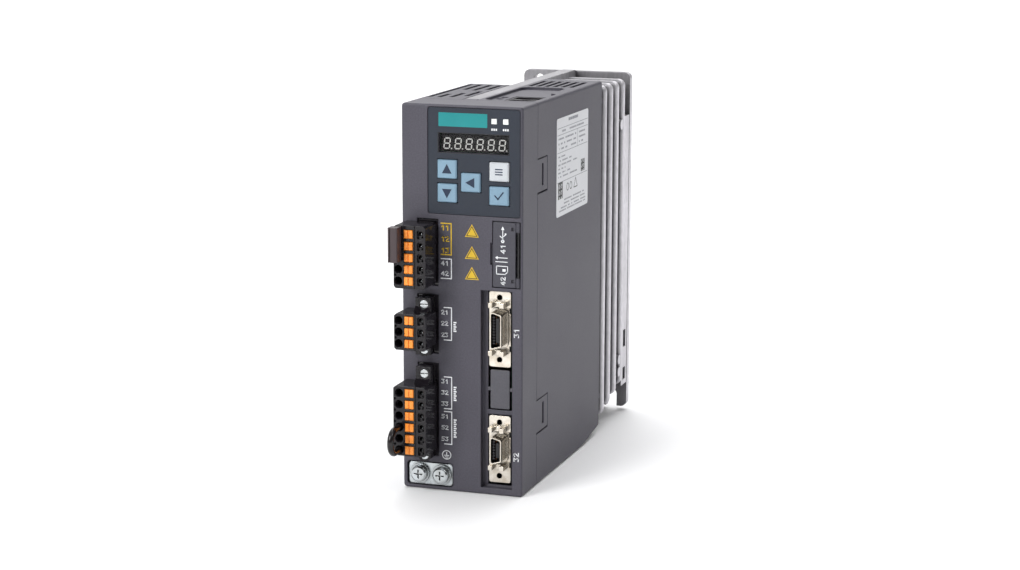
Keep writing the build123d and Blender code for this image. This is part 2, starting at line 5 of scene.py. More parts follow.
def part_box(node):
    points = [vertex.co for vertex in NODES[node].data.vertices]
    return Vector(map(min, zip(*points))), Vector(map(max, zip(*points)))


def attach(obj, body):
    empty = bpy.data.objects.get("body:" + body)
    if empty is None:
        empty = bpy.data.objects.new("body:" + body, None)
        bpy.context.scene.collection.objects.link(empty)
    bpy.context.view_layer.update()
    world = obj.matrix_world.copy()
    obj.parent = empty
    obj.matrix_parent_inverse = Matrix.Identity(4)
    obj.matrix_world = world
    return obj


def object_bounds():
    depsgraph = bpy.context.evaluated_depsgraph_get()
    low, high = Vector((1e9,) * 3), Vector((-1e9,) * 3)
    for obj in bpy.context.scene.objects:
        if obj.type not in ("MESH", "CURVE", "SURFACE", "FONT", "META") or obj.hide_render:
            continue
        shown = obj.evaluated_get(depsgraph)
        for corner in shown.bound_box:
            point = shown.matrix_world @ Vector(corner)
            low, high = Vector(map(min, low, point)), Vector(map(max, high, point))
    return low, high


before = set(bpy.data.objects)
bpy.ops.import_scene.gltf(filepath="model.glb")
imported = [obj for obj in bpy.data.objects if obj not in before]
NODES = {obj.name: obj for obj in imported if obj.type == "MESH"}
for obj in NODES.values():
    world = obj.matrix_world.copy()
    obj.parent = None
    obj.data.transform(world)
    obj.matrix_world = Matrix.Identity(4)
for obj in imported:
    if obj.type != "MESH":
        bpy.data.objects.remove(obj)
cad_lo, cad_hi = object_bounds()
scene = bpy.context.scene

# ----------------------------------------------------------------- the frame
# The front face, underside and middle of the housing, read from the CAD boxes.
_c0, _c1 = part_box("front_cover")
Y0, Z0 = _c0.y, _c0.z
XM = (_c0.x + _c1.x) / 2
MM = 0.001


def V(x, y, z):
    """x from the middle, depth behind the front face, height above the underside, in mm."""
    return Vector((XM + x * MM, Y0 + y * MM, Z0 + z * MM))


# ------------------------------------------------------------------ materials
def srgb(r, g, b):
    def lin(c):
        c /= 255.0
        return c / 12.92 if c <= 0.04045 else ((c + 0.055) / 1.055) ** 2.4
    return (lin(r), lin(g), lin(b))


def material(name, color, rough=0.5, metal=0.0, vary=0.06, vary_scale=45.0, hue=None,
             grain=1100.0, bump=0.25, depth=0.00004, rvary=0.07, coat=0.0, spec=0.5,
             edge=0.00025, streak=None, speckle=0.0, emit=None, second=None, ior=1.5,
             wear=0.0, wear_color=None, painted_crevice_shade=0.0, painted_crevice_shade_dist=0.0025, painted_side_shading=0.0):
    m = bpy.data.materials.new(name)
    m.use_nodes = True
    nt = m.node_tree
    N, L = nt.nodes, nt.links
    bsdf = N["Principled BSDF"]
    out = N["Material Output"]
    bsdf.inputs["Metallic"].default_value = metal
    bsdf.inputs["Coat Weight"].default_value = coat
    bsdf.inputs["Coat Roughness"].default_value = 0.12
    bsdf.inputs["Specular IOR Level"].default_value = spec
    bsdf.inputs["IOR"].default_value = ior
    tc = N.new("ShaderNodeTexCoord")
    mp = N.new("ShaderNodeMapping")
    L.new(tc.outputs["Object"], mp.inputs["Vector"])
    if streak:
        mp.inputs["Scale"].default_value = streak
    big = N.new("ShaderNodeTexNoise")
    big.inputs["Scale"].default_value = vary_scale
    big.inputs["Detail"].default_value = 4.0
    big.inputs["Roughness"].default_value = 0.6
    L.new(mp.outputs["Vector"], big.inputs["Vector"])
    fine = N.new("ShaderNodeTexNoise")
    fine.inputs["Scale"].default_value = grain
    fine.inputs["Detail"].default_value = 3.0
    L.new(mp.outputs["Vector"], fine.inputs["Vector"])
    ramp = N.new("ShaderNodeValToRGB")
    dark = tuple(c * (1 - vary) for c in color)
    light = tuple(min(1.0, c * (1 + vary)) for c in (second or color))
    ramp.color_ramp.elements[0].position = 0.30
    ramp.color_ramp.elements[0].color = (*dark, 1)
    ramp.color_ramp.elements[1].position = 0.70
    ramp.color_ramp.elements[1].color = (*light, 1)
    L.new(big.outputs["Fac"], ramp.inputs["Fac"])
    col = ramp.outputs["Color"]
    if speckle > 0:
        mul = N.new("ShaderNodeMapRange")
        mul.inputs["From Min"].default_value = 0.35
        mul.inputs["From Max"].default_value = 0.65
        mul.inputs["To Min"].default_value = 1.0 - speckle
        mul.inputs["To Max"].default_value = 1.0 + speckle
        L.new(fine.outputs["Fac"], mul.inputs["Value"])
        mix = N.new("ShaderNodeVectorMath")
        mix.operation = "SCALE"
        L.new(col, mix.inputs[0])
        L.new(mul.outputs["Result"], mix.inputs["Scale"])
        col = mix.outputs["Vector"]
    if wear > 0:
        geo = N.new("ShaderNodeNewGeometry")
        wr = N.new("ShaderNodeMapRange")
        wr.inputs["From Min"].default_value = 0.52
        wr.inputs["From Max"].default_value = 0.62
        wr.inputs["To Min"].default_value = 0.0
        wr.inputs["To Max"].default_value = wear
        L.new(geo.outputs["Pointiness"], wr.inputs["Value"])
        wm = N.new("ShaderNodeMix")
        wm.data_type = "RGBA"
        L.new(wr.outputs["Result"], wm.inputs["Factor"])
        L.new(col, wm.inputs[6])
        wm.inputs[7].default_value = (*(wear_color or light), 1)
        col = wm.outputs[2]
    def scaled(col, value):
        sc = N.new("ShaderNodeVectorMath")
        sc.operation = "SCALE"
        L.new(col, sc.inputs[0])
        L.new(value, sc.inputs["Scale"])
        return sc.outputs["Vector"]

    if painted_crevice_shade > 0:         # painted shade: colour darkened in corners, creases and gaps that ambient occlusion finds
        ao = N.new("ShaderNodeAmbientOcclusion")
        ao.samples = 4
        ao.inputs["Distance"].default_value = painted_crevice_shade_dist
        am = N.new("ShaderNodeMapRange")
        am.inputs["From Min"].default_value = 0.35
        am.inputs["From Max"].default_value = 0.95
        am.inputs["To Min"].default_value = 1.0 - painted_crevice_shade
        am.inputs["To Max"].default_value = 1.0
        L.new(ao.outputs["AO"], am.inputs["Value"])
        col = scaled(col, am.outputs["Result"])
    if painted_side_shading != 0:        # painted light and shade: faces turned towards +X made brighter (positive value) or darker (negative value) than front faces
        geo2 = N.new("ShaderNodeNewGeometry")
        sx = N.new("ShaderNodeSeparateXYZ")
        L.new(geo2.outputs["Normal"], sx.inputs["Vector"])
        om = N.new("ShaderNodeMapRange")
        om.inputs["From Min"].default_value = 0.0
        om.inputs["From Max"].default_value = 0.9
        om.inputs["To Min"].default_value = 1.0 - max(painted_side_shading, 0.0)
        om.inputs["To Max"].default_value = 1.35 if painted_side_shading > 0 else 1.0 + painted_side_shading
        L.new(sx.outputs["X"], om.inputs["Value"])
        col = scaled(col, om.outputs["Result"])
    L.new(col, bsdf.inputs["Base Color"])
    rr = N.new("ShaderNodeMapRange")
    rr.inputs["To Min"].default_value = max(0.03, rough - rvary)
    rr.inputs["To Max"].default_value = min(1.0, rough + rvary)
    L.new(big.outputs["Fac"], rr.inputs["Value"])
    L.new(rr.outputs["Result"], bsdf.inputs["Roughness"])
    bp = N.new("ShaderNodeBump")
    bp.inputs["Strength"].default_value = bump
    bp.inputs["Distance"].default_value = depth
    L.new(fine.outputs["Fac"], bp.inputs["Height"])
    if edge > 0:
        bv = N.new("ShaderNodeBevel")
        bv.samples = 6
        bv.inputs["Radius"].default_value = edge
        L.new(bv.outputs["Normal"], bp.inputs["Normal"])
    L.new(bp.outputs["Normal"], bsdf.inputs["Normal"])
    if emit:
        bsdf.inputs["Emission Color"].default_value = (*emit[0], 1)
        bsdf.inputs["Emission Strength"].default_value = emit[1]
    return m


HOUSING = material("housing_plastic", srgb(74, 72, 81), rough=0.50, vary=0.06, vary_scale=26,
                   grain=1500, bump=0.6, depth=0.00006, speckle=0.09, spec=0.36, edge=0.00055)
HOUSING_FLAP = material("flap_plastic", srgb(67, 66, 74), rough=0.44, vary=0.06, vary_scale=30,
                        grain=1500, bump=0.5, depth=0.00005, speckle=0.08, spec=0.38, edge=0.0004)
COVER_PLATE = material("cover_plate_plastic", srgb(78, 77, 84), rough=0.36, vary=0.08, vary_scale=60,
                       grain=1500, bump=0.4, depth=0.00004, speckle=0.08, spec=0.5, edge=0.0004)
# cast aluminium: painted shade in the gaps between fins, painted light on faces turned towards +X
ALU = material("cast_aluminium", srgb(186, 184, 188), rough=0.42, metal=0.55, vary=0.14,
               vary_scale=60, grain=900, bump=0.55, depth=0.00008, speckle=0.08,
               streak=(1.0, 1.0, 0.35), edge=0.0005, painted_crevice_shade=0.6, painted_crevice_shade_dist=0.009,
               painted_side_shading=0.44)
# zinc plating: painted shade darkens its corners and gaps
ZINC = material("zinc_plated", srgb(186, 188, 186), rough=0.22, metal=1.0, vary=0.10,
                vary_scale=260, grain=2200, bump=0.15, depth=0.00002, rvary=0.10,
                second=srgb(200, 206, 210), edge=0.00015, painted_crevice_shade=0.8, painted_crevice_shade_dist=0.0012)
# nickel plate: painted shade in its corners and on faces turned towards +X
NICKEL = material("nickel_plate", srgb(206, 195, 178), rough=0.20, metal=1.0, vary=0.10,
                  vary_scale=240, grain=1800, bump=0.18, depth=0.00002, rvary=0.10,
                  second=srgb(222, 216, 206), edge=0.0002, painted_crevice_shade=0.8, painted_crevice_shade_dist=0.0016,
                  painted_side_shading=-0.62)
# earth plate: painted shade darkens its corners and gaps
EARTH = material("earth_plate_zinc", srgb(204, 208, 209), rough=0.26, metal=0.97, vary=0.10,
                 vary_scale=320, grain=1500, bump=0.2, depth=0.00003, rvary=0.12,
                 second=srgb(196, 203, 206), edge=0.0002, painted_crevice_shade=0.7, painted_crevice_shade_dist=0.0014)
FILM = material("panel_film_print", srgb(38, 44, 55), rough=0.36, vary=0.05, vary_scale=40,
                grain=2600, bump=0.25, depth=0.00002, speckle=0.05, spec=0.38, edge=0.0001)
TEAL = material("plate_teal", srgb(0, 132, 134), rough=0.36, vary=0.05, vary_scale=90,
                grain=2600, bump=0.2, depth=0.00002, edge=0.0)
LENS_BLACK = material("display_face_black", srgb(9, 8, 10), rough=0.45, vary=0.2, vary_scale=60,
                      grain=2000, bump=0.1, depth=0.00002, edge=0.0)
KEY_BLUE = material("key_blue", srgb(122, 152, 172), rough=0.42, vary=0.05, vary_scale=80,
                    grain=1800, bump=0.3, depth=0.00003, speckle=0.03, edge=0.0002)
KEY_WHITE = material("key_white", srgb(192, 196, 200), rough=0.42, vary=0.04, vary_scale=80,
                     grain=1800, bump=0.3, depth=0.00003, speckle=0.03, edge=0.0002)
INK_BLUE = material("ink_blue", srgb(18, 36, 62), rough=0.5, vary=0.08, vary_scale=300,
                    grain=2600, bump=0.1, depth=0.00001, edge=0.0)
INK_WHITE = material("ink_white", srgb(232, 234, 236), rough=0.5, vary=0.05, vary_scale=300,
                     grain=2600, bump=0.1, depth=0.00001, edge=0.0)
INK_GREY = material("ink_grey", srgb(128, 131, 138), rough=0.55, vary=0.10, vary_scale=500,
                    grain=2600, bump=0.1, depth=0.00001, edge=0.0)
INK_YELLOW = material("ink_yellow", srgb(204, 168, 30), rough=0.46, vary=0.06, vary_scale=300,
                      grain=2600, bump=0.1, depth=0.00001, edge=0.0)
INK_FAINT = material("ink_faint", srgb(140, 142, 148), rough=0.55, vary=0.12, vary_scale=500,
                     grain=2600, bump=0.1, depth=0.00001, edge=0.0)
INK_BLACK = material("ink_black", srgb(28, 28, 30), rough=0.5, vary=0.2, vary_scale=300,
                     grain=2600, bump=0.1, depth=0.00001, edge=0.0)
LED_WHITE = material("lamp_lens", srgb(228, 232, 230), rough=0.35, vary=0.04, vary_scale=200,
                     grain=2000, bump=0.2, depth=0.00002, emit=((0.9, 0.95, 0.92), 0.15))
DIGIT = material("display_digit", srgb(225, 226, 222), rough=0.5, vary=0.05, vary_scale=500,
                 grain=2600, bump=0.05, depth=0.00001, edge=0.0, emit=((0.95, 0.95, 0.92), 0.55))
BLACK = material("terminal_black", srgb(25, 22, 26), rough=0.16, vary=0.25, vary_scale=90,
                 grain=1500, bump=0.22, depth=0.00003, rvary=0.06, edge=0.0003, spec=0.34)
HEADER = material("header_black", srgb(34, 31, 36), rough=0.18, vary=0.2, vary_scale=90,
                  grain=1500, bump=0.22, depth=0.00003, rvary=0.07, edge=0.0003, spec=0.45)
BLACK_MATTE = material("moulded_black", srgb(26, 25, 27), rough=0.42, vary=0.18, vary_scale=90,
                       grain=1500, bump=0.3, depth=0.00003, edge=0.0002)
ORANGE = material("lever_orange", srgb(246, 138, 36), rough=0.34, vary=0.05, vary_scale=160,
                  grain=1800, bump=0.25, depth=0.00003, second=srgb(248, 152, 56), edge=0.0003,
                  speckle=0.03)
BROWN = material("bridge_brown", srgb(64, 52, 54), rough=0.44, vary=0.10, vary_scale=110,
                 grain=1600, bump=0.35, depth=0.00004, edge=0.0003)
WIRE = material("wire_pvc", srgb(20, 15, 16), rough=0.20, vary=0.15, vary_scale=160,
                grain=900, bump=0.2, depth=0.00003, edge=0.0)
# gold contacts darkened to brown: painted shade inside the connector shroud
GOLD_PAINTED_SHADE = material("contact_gold_painted_shade", srgb(96, 62, 40), rough=0.3, metal=1.0, vary=0.15,
                  vary_scale=500, grain=2600, bump=0.1, depth=0.00001, edge=0.0)
GOLD = material("contact_gold", srgb(222, 176, 92), rough=0.24, metal=1.0, vary=0.08,
                vary_scale=500, grain=2600, bump=0.1, depth=0.00001, edge=0.0)
PCB = material("solder_mask", srgb(24, 92, 52), rough=0.34, vary=0.16, vary_scale=220,
               grain=1600, bump=0.3, depth=0.00004, edge=0.0, second=srgb(30, 108, 62))
MODULE = material("module_body", srgb(140, 142, 148), rough=0.5, vary=0.08, vary_scale=100,
                  grain=1200, bump=0.3, depth=0.00004)
PAD = material("thermal_pad", srgb(196, 202, 210), rough=0.75, vary=0.06, vary_scale=200,
               grain=900, bump=0.4, depth=0.00005)
RELAY = material("relay_case", srgb(28, 60, 120), rough=0.34, vary=0.08, vary_scale=80,
                 grain=1400, bump=0.25, depth=0.00003)
SLEEVE = material("capacitor_sleeve", srgb(20, 26, 48), rough=0.26, vary=0.12, vary_scale=80,
                  grain=900, bump=0.2, depth=0.00003, second=srgb(28, 34, 60))
LABEL = material("label_film", srgb(214, 215, 218), rough=0.48, vary=0.03, vary_scale=60,
                 grain=2200, bump=0.2, depth=0.00002, edge=0.0001, speckle=0.02)


def lens_material():
    """Smoked window: mostly clear, with a sharp sheen that grows towards grazing views."""
    m = material("display_lens", srgb(10, 10, 12), rough=0.12, vary=0.10, vary_scale=30,
                 grain=400, bump=0.03, depth=0.00001, rvary=0.03, edge=0.0, spec=0.4)
    nt = m.node_tree
    bsdf = nt.nodes["Principled BSDF"]
    n = nt.nodes.new("ShaderNodeTexNoise")
    n.inputs["Scale"].default_value = 90.0
    r = nt.nodes.new("ShaderNodeMapRange")
    r.inputs["To Min"].default_value = 0.22
    r.inputs["To Max"].default_value = 0.28
    nt.links.new(n.outputs["Fac"], r.inputs["Value"])
    nt.links.new(r.outputs["Result"], bsdf.inputs["Alpha"])
    return m


LENS = lens_material()

NODE_MATS = {
    "front_cover": HOUSING, "right_shell": HOUSING, "left_shell": HOUSING,
    "blanking_cover": COVER_PLATE, "service_flap": HOUSING_FLAP,
    "heatsink": ALU, "housing_screws": ZINC, "panel_film": FILM,
    "display_window": LENS, "display_module": LENS_BLACK, "led_light_pipes": LED_WHITE,
    "panel_board": PCB, "control_board": PCB, "power_board": PCB, "capacitor_board": PCB,
    "key_switches": BLACK_MATTE, "key_up": KEY_BLUE, "key_down": KEY_BLUE,
    "key_left": KEY_BLUE, "key_ok": KEY_BLUE, "key_menu": KEY_WHITE,
    "flap_hinge_pin": BLACK_MATTE, "service_socket": NICKEL, "card_slot": NICKEL,
    "io_connector_shell": NICKEL, "encoder_connector_shell": NICKEL,
    "io_connector_insert": BLACK_MATTE, "encoder_connector_insert": BLACK_MATTE,
    "header_24v": HEADER, "header_mains": HEADER, "header_motor": HEADER,
    "plug_24v": BLACK, "plug_mains": BLACK, "plug_motor": BLACK,
    "plug_mains_screws": ZINC, "plug_motor_screws": ZINC, "jumper_bar": BROWN,
    "link_wire": WIRE, "ground_plate": EARTH, "ground_screws": ZINC,
    "power_module": MODULE, "thermal_pad": PAD, "inrush_relay": RELAY,
    "dc_link_capacitors": SLEEVE, "network_sockets": HEADER, "rating_label": LABEL,
}
for name, obj in NODES.items():
    m = NODE_MATS.get(name) or (ORANGE if name.startswith("lever_") else HOUSING)
    obj.data.materials.clear()
    obj.data.materials.append(m)


# -------------------------------------------------------------- mesh helpers
def make(name, verts, faces, mat, body, smooth=False):
    me = bpy.data.meshes.new(name)
    me.from_pydata([tuple(v) for v in verts], [], faces)
    me.validate()
    me.update()
    bm = bmesh.new()
    bm.from_mesh(me)
    bmesh.ops.recalc_face_normals(bm, faces=bm.faces)
    bm.to_mesh(me)
    bm.free()
    for p in me.polygons:
        p.use_smooth = smooth
    ob = bpy.data.objects.new(name, me)
    scene.collection.objects.link(ob)
    ob.data.materials.append(mat)
    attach(ob, body)
    return ob


class Bag:
    """Collects closed prisms, boxes and turned shapes into one mesh."""

    def __init__(self):
        self.v, self.f = [], []

    def prism(self, bottom, top):
        n, k = len(bottom), len(self.v)
        self.v += list(bottom) + list(top)
        self.f.append([k + i for i in range(n)])
        self.f.append([k + n + i for i in reversed(range(n))])
        for i in range(n):
            j = (i + 1) % n
            self.f.append([k + j, k + i, k + n + i, k + n + j])

    def front(self, pts, y, t=0.03):
        """Print or plate on the front: pts are (x, z)."""
        self.prism([V(x, y, z) for x, z in pts], [V(x, y - t, z) for x, z in pts])

    def side(self, pts, x, t=0.02):
        """Print on the right side: pts are (y, z)."""
        self.prism([V(x, y, z) for y, z in pts], [V(x + t, y, z) for y, z in pts])

    def box(self, x0, x1, y0, y1, z0, z1, c=0.0):
        """Box with its front and vertical edges chamfered by c."""
        if c <= 0:
            self.prism([V(x0, y1, z0), V(x1, y1, z0), V(x1, y1, z1), V(x0, y1, z1)],
                       [V(x0, y0, z0), V(x1, y0, z0), V(x1, y0, z1), V(x0, y0, z1)])
            return
        def ring(i, y):
            a, b, d, e = x0 + i, x1 - i, z0 + i, z1 - i
            q = c
            return [V(a + q, y, d), V(b - q, y, d), V(b, y, d + q), V(b, y, e - q),
                    V(b - q, y, e), V(a + q, y, e), V(a, y, e - q), V(a, y, d + q)]
        rings = [ring(0, y1), ring(0, y0 + c), ring(c, y0)]
        k = len(self.v)
        for r in rings:
            self.v += r
        for i in range(2):
            for j in range(8):
                a, b = k + 8 * i + j, k + 8 * i + (j + 1) % 8
                self.f.append([a, b, b + 8, a + 8])
        self.f.append([k + j for j in reversed(range(8))])
        self.f.append([k + 16 + j for j in range(8)])

    def lathe_y(self, x, z, profile, n=32):
        """Turned shape about a line along y: profile is (r, y), first and last at r 0."""
        k = len(self.v)
        idx = []
        for r, y in profile:
            if r < 1e-6:
                idx.append([len(self.v)])
                self.v.append(V(x, y, z))
            else:
                idx.append(list(range(len(self.v), len(self.v) + n)))
                for i in range(n):
                    a = 2 * math.pi * i / n
                    self.v.append(V(x + r * math.cos(a), y, z + r * math.sin(a)))
        for a, b in zip(idx, idx[1:]):
            for i in range(n):
                j = (i + 1) % n
                q = [a[i % len(a)], a[j % len(a)], b[j % len(b)], b[i % len(b)]]
                out = []
                for p in q:
                    if p not in out:
                        out.append(p)
                if len(out) > 2:
                    self.f.append(out)

    def done(self, name, mat, body, smooth=False):
        return make(name, self.v, self.f, mat, body, smooth)


def rect(x0, x1, z0, z1):
    return [(x0, z0), (x1, z0), (x1, z1), (x0, z1)]


def rrect(x0, x1, z0, z1, r, n=6):
    pts = []
    for cx, cz, a0 in ((x1 - r, z1 - r, 0), (x0 + r, z1 - r, 90), (x0 + r, z0 + r, 180),
                       (x1 - r, z0 + r, 270)):
        for i in range(n + 1):
            a = math.radians(a0 + 90 * i / n)
            pts.append((cx + r * math.cos(a), cz + r * math.sin(a)))
    return pts


def stroke(p, q, w):
    (x0, z0), (x1, z1) = p, q
    d = math.hypot(x1 - x0, z1 - z0)
    nx, nz = -(z1 - z0) / d * w / 2, (x1 - x0) / d * w / 2
    ex, ez = (x1 - x0) / d * w / 2, (z1 - z0) / d * w / 2
    return [(x0 - ex + nx, z0 - ez + nz), (x0 - ex - nx, z0 - ez - nz),
            (x1 + ex - nx, z1 + ez - nz), (x1 + ex + nx, z1 + ez + nz)]


def ring_strokes(cx, cz, r, w, n=28):
    out = []
    for i in range(n):
        a, b = 2 * math.pi * i / n, 2 * math.pi * (i + 1) / n
        out.append([(cx + (r + w / 2) * math.cos(a), cz + (r + w / 2) * math.sin(a)),
                    (cx + (r + w / 2) * math.cos(b), cz + (r + w / 2) * math.sin(b)),
                    (cx + (r - w / 2) * math.cos(b), cz + (r - w / 2) * math.sin(b)),
                    (cx + (r - w / 2) * math.cos(a), cz + (r - w / 2) * math.sin(a))])
    return out


NUMERALS = {
    1: [[(0.25, 0.75), (0.55, 1.0), (0.55, 0.0)]],
    2: [[(0.05, 0.8), (0.3, 1.0), (0.65, 0.95), (0.75, 0.7), (0.05, 0.0), (0.8, 0.0)]],
    3: [[(0.05, 0.95), (0.75, 1.0), (0.4, 0.6), (0.75, 0.35), (0.55, 0.02), (0.05, 0.08)]],
    4: [[(0.6, 0.0), (0.6, 1.0), (0.02, 0.3), (0.8, 0.3)]],
    5: [[(0.75, 1.0), (0.12, 1.0), (0.1, 0.58), (0.6, 0.6), (0.75, 0.3), (0.5, 0.0), (0.05, 0.05)]],
    6: [[(0.65, 1.0), (0.15, 0.55), (0.08, 0.2), (0.4, 0.0), (0.75, 0.25), (0.5, 0.55), (0.15, 0.45)]],
}


def numeral(n, x, z, h, w, turned=False):
    """Strokes of one numeral, its lower left corner at (x, z); turned reads upwards."""
    out = []
    for line in NUMERALS[n]:
        for (a, b), (c, d) in zip(line, line[1:]):
            if turned:
                p, q = (x - b * h, z + a * h), (x - d * h, z + c * h)
            else:
                p, q = (x + a * h, z + b * h), (x + c * h, z + d * h)
            out.append(stroke(p, q, w))
    return out


# ------------------------------------------------------------ operator panel
ROOT = "drive"
film_y = 0.28
b = Bag()
b.front(rrect(-10.6, 11.4, 160.6, 166.5, 0.25), film_y, 0.05)
plate = b.done("name_plate_blank", TEAL, ROOT)

b = Bag()       # lamp marks: plain ticks under each lamp
for lx in (14.5, 19.7):
    for i in range(3):
        x = lx - 1.25 + i * 0.95
        b.front(rect(x, x + 0.6, 159.6, 160.5), film_y)
b.done("lamp_marks", INK_WHITE, ROOT)

b = Bag()       # bezel line around the display opening
for pts in (rect(-11.0, 21.4, 157.75, 158.0), rect(-11.0, 21.4, 149.2, 149.4),
            rect(-11.0, -10.7, 149.2, 158.0), rect(21.1, 21.4, 149.2, 158.0)):
    b.front(pts, film_y, 0.04)
b.done("display_surround", INK_BLACK, ROOT)

# six digits, every segment lit
b = Bag()
dot = Bag()
lo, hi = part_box("display_module")
dig_y = (lo.y - Y0) / MM
SL = 0.12
for i in range(6):
    cx = -7.55 + 4.98 * i
    cz = 153.1
    w, h, t = 1.25, 2.2, 0.24

    def seg(x0, z0, x1, z1):
        dx, dz = x1 - x0, z1 - z0
        d = math.hypot(dx, dz)
        ux, uz = dx / d, dz / d
        g = 0.16
        a = (x0 + ux * g, z0 + uz * g)
        c = (x1 - ux * g, z1 - uz * g)
        nx, nz = -uz * t, ux * t
        pts = [a, (a[0] + ux * t + nx, a[1] + uz * t + nz), (c[0] - ux * t + nx, c[1] - uz * t + nz),
               c, (c[0] - ux * t - nx, c[1] - uz * t - nz), (a[0] + ux * t - nx, a[1] + uz * t - nz)]
        return [(cx + px + (pz) * SL, cz + pz) for px, pz in pts]

    for s in ((-w, h, w, h), (-w, 0, w, 0), (-w, -h, w, -h), (-w, 0, -w, h), (w, 0, w, h),
              (-w, -h, -w, 0), (w, -h, w, 0)):
        b.front(seg(*s), dig_y, 0.05)
    dot.front([(cx + 2.0 + 0.3 * math.cos(a), cz - h + 0.3 * math.sin(a))
               for a in [2 * math.pi * k / 12 for k in range(12)]], dig_y, 0.05)
b.done("display_digits", DIGIT, ROOT)
dot.done("display_points", DIGIT, ROOT)


# key symbols ride on their keys
def key_front(name):
    lo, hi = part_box(name)
    return (lo.x - XM) / MM, (hi.x - XM) / MM, (lo.y - Y0) / MM, (lo.z - Z0) / MM, (hi.z - Z0) / MM


def key_centre(name):
    x0, x1, y, z0, z1 = key_front(name)
    return (x0 + x1) / 2, (z0 + z1) / 2, y


for name, shape in (("key_up", [(0, 2.3), (-2.2, -1.8), (2.2, -1.8)]),
                    ("key_down", [(0, -2.3), (2.2, 1.8), (-2.2, 1.8)]),
                    ("key_left", [(-2.3, 0), (1.8, -2.2), (1.8, 2.2)])):
    cx, cz, y = key_centre(name)
    b = Bag()
    b.front([(cx + x, cz + z) for x, z in shape], y, 0.03)
    b.done(name + "_symbol", INK_BLUE, name)
cx, cz, y = key_centre("key_menu")
b = Bag()       # menu: three bars
for dz in (-1.1, 0, 1.1):
    b.front(rect(cx - 1.7, cx + 1.7, cz + dz - 0.26, cz + dz + 0.26), y, 0.03)
b.done("key_menu_symbol", INK_BLUE, "key_menu")
cx, cz, y = key_centre("key_ok")
b = Bag()       # confirm: a tick
b.front(stroke((cx - 1.7, cz + 0.1), (cx - 0.4, cz - 1.3), 0.6), y, 0.03)
b.front(stroke((cx - 0.4, cz - 1.3), (cx + 1.9, cz + 1.6), 0.6), y, 0.03)
b.done("key_ok_symbol", INK_BLUE, "key_ok")


# -------------------------------------------------------------- front prints
def bracket(bag, x0, x1, z0, z1, w=0.42):
    bag.front(rect(x0, x1, z1 - w, z1), 0.0)
    bag.front(rect(x0, x1, z0, z0 + w), 0.0)
    bag.front(rect(x1 - w, x1, z0 + w, z1 - w), 0.0)


poles_24 = [115.6 - 5.08 * i for i in range(5)]
poles_m = [78.05 - 5.08 * i for i in range(3)]
poles_u = [46.05 - 5.08 * i for i in range(6)]


def terminal_numbers(bag, tens, rows, x, h, w):
    for i, z in enumerate(rows):
        for s in numeral(tens, x, z - h / 2, h, w) + numeral(i % 6 + 1, x + h * 0.98, z - h / 2, h, w):
            bag.front(s, 0.0)


b = Bag()
bracket(b, -9.7, -4.6, 104.9, 119.0, 0.5)
terminal_numbers(b, 1, (116.9, 112.0, 107.0), -9.5, 2.0, 0.44)
b.done("safety_bracket", INK_YELLOW, ROOT)
b = Bag()
bracket(b, -9.7, -4.6, 94.5, 103.5)
terminal_numbers(b, 4, (101.4, 96.9), -9.5, 1.85, 0.36)
bracket(b, -8.4, -4.6, 67.35, 82.1)
terminal_numbers(b, 2, (79.8, 74.9, 69.8), -9.5, 1.7, 0.34)
bracket(b, -8.4, -4.6, 36.7, 51.3)
terminal_numbers(b, 3, (49.1, 44.1, 39.1), -9.5, 1.7, 0.34)
bracket(b, -8.4, -4.6, 20.8, 35.8)
terminal_numbers(b, 5, (33.4, 28.4, 23.3), -9.5, 1.7, 0.34)
# plain group marks to the right of each bracket
for z0, z1 in ((71.4, 76.1), (40.7, 47.1), (24.2, 32.7)):
    z, k = z0, 0
    while z < z1 - 0.5:
        b.front(rect(-3.9, -2.55 - 0.35 * (k % 2), z, z + 0.62), 0.0)
        z += 0.95
        k += 1
# protective earth symbol
for s in ring_strokes(-7.2, 16.1, 1.95, 0.36):
    b.front(s, 0.0)
b.front(rect(-7.38, -7.02, 16.0, 17.4), 0.0)
b.front(rect(-8.4, -6.0, 15.7, 16.02), 0.0)
b.front(rect(-8.05, -6.35, 15.05, 15.33), 0.0)
b.front(rect(-7.65, -6.75, 14.45, 14.7), 0.0)
# port numbers beside the ribbon connectors
for n, z in ((1, 72.9), (2, 18.0)):
    for s in numeral(n, 25.9, z, 2.1, 0.4, turned=True):
        b.front(s, 0.0)
    for s in numeral(3, 25.9, z - 2.1, 2.1, 0.4, turned=True):
        b.front(s, 0.0)
b.done("front_prints", INK_WHITE, ROOT)

tri, inner = Bag(), Bag()
for az in (119.0, 109.5, 100.5):
    cx, base, h, hw = 4.55, az - 5.6, 5.6, 3.2

    def tri_pts(inset):
        k = inset
        c = base + h / 3
        f = (h / 3 - k) / (h / 3)
        return [(cx + x * f, c + (z - c) * f) for x, z in
                ((-hw, base), (hw, base), (0.0, az))]
    tri.front(tri_pts(0.0), 0.0, 0.03)
    outer, inn = tri_pts(0.36), tri_pts(0.66)
    for i in range(3):
        j = (i + 1) % 3
        inner.front([outer[i], outer[j], inn[j], inn[i]], -0.03, 0.015)
tri.done("caution_triangles", INK_YELLOW, ROOT)
inner.done("caution_triangle_lines", INK_BLACK, ROOT)

# service flap prints ride on the flap
lo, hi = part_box("service_flap")
fy = (lo.y - Y0) / MM
b = Bag()
fy = 0.1
# plug symbol
FX = -1.2


def flap(pts):
    b.front([(x + FX, z) for x, z in pts], fy)


